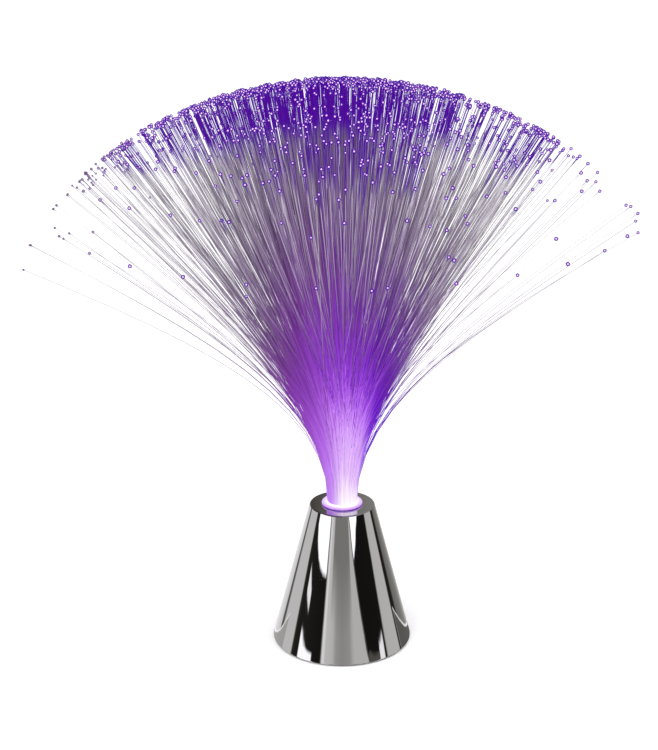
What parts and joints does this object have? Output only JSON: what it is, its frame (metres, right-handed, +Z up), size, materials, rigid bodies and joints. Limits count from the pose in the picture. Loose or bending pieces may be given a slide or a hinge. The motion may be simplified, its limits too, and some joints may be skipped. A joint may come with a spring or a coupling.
{
  "type": "fiber optic lamp",
  "caption": "Battery table lamp: a spray of light-guiding fibres plugs into the top of a chrome-plated cone with its switch and battery door underneath.",
  "frame": {"origin": "on the table, on the axis of the cone", "axes": "+Z up the axis of the cone; the cells lie along X; the switch is on the +Y side of the underside"},
  "size_m": [0.3422, 0.3176, 0.33],
  "materials": {
    "plated_shell": "bright plating on moulded ABS",
    "black_abs": "moulded, fine spark texture",
    "foot_rubber": "soft, matt",
    "zinc_screw": "zinc plated",
    "cell_sleeve": "printed sleeve, satin",
    "nickel_strip": "nickel plated sheet",
    "spring_wire": "drawn wire, nickel plated",
    "switch_steel": "pressed sheet",
    "switch_button": "moulded",
    "board_laminate": "green solder mask",
    "led_epoxy": "clear cast epoxy, lit",
    "white_abs": "moulded, polished",
    "chip_epoxy": "moulded",
    "capacitor_sleeve": "shrunk sleeve",
    "lead_red": "insulation",
    "lead_orange": "insulation",
    "lead_black": "insulation",
    "collar_clear": "clear moulding, lit from below",
    "ferrule_metal": "drawn tube",
    "fibre_acrylic": "drawn clear fibre, lit from its root"
  },
  "bodies": {
    "lamp_base": {"cone_shell": "plated_shell", "base_plate": "black_abs", "foot_ring": "foot_rubber", "base_screws": "zinc_screw", "cell_left": "cell_sleeve", "cell_middle": "cell_sleeve", "cell_right": "cell_sleeve", "contact_positive": "nickel_strip", "contact_negative": "nickel_strip", "contact_link_left": "nickel_strip", "contact_link_right": "nickel_strip", "contact_springs": "spring_wire", "switch_body": "switch_steel", "switch_screws": "zinc_screw", "circuit_board": "board_laminate", "board_screws": "zinc_screw", "colour_led": "led_epoxy", "light_shroud": "white_abs", "controller_chip": "chip_epoxy", "board_resistors": "chip_epoxy", "board_capacitor": "capacitor_sleeve", "lead_positive": "lead_red", "lead_switched": "lead_orange", "lead_negative": "lead_black"},
    "battery_door": {"battery_door": "black_abs", "door_screws": "zinc_screw"},
    "switch_slider": {"switch_slider": "switch_button"},
    "spray": {"spray_collar": "collar_clear", "bundle_ferrule": "ferrule_metal", "fibre_tuft_1": "fibre_acrylic", "fibre_tuft_2": "fibre_acrylic", "fibre_tuft_3": "fibre_acrylic", "fibre_tuft_4": "fibre_acrylic", "fibre_tuft_5": "fibre_acrylic", "fibre_tuft_6": "fibre_acrylic"}
  },
  "joints": [
    {"name": "spray_lift", "type": "slide", "parent": "lamp_base", "child": "spray", "axis": [0, 0, 1], "range_m": [0, 0.024]},
    {"name": "switch_slide", "type": "slide", "parent": "lamp_base", "child": "switch_slider", "axis": [1, 0, 0], "range_m": [-0.003, 0]},
    {"name": "door_pull", "type": "slide", "parent": "lamp_base", "child": "battery_door", "axis": [0, 0, -1], "range_m": [0, 0.015]}
  ]
}
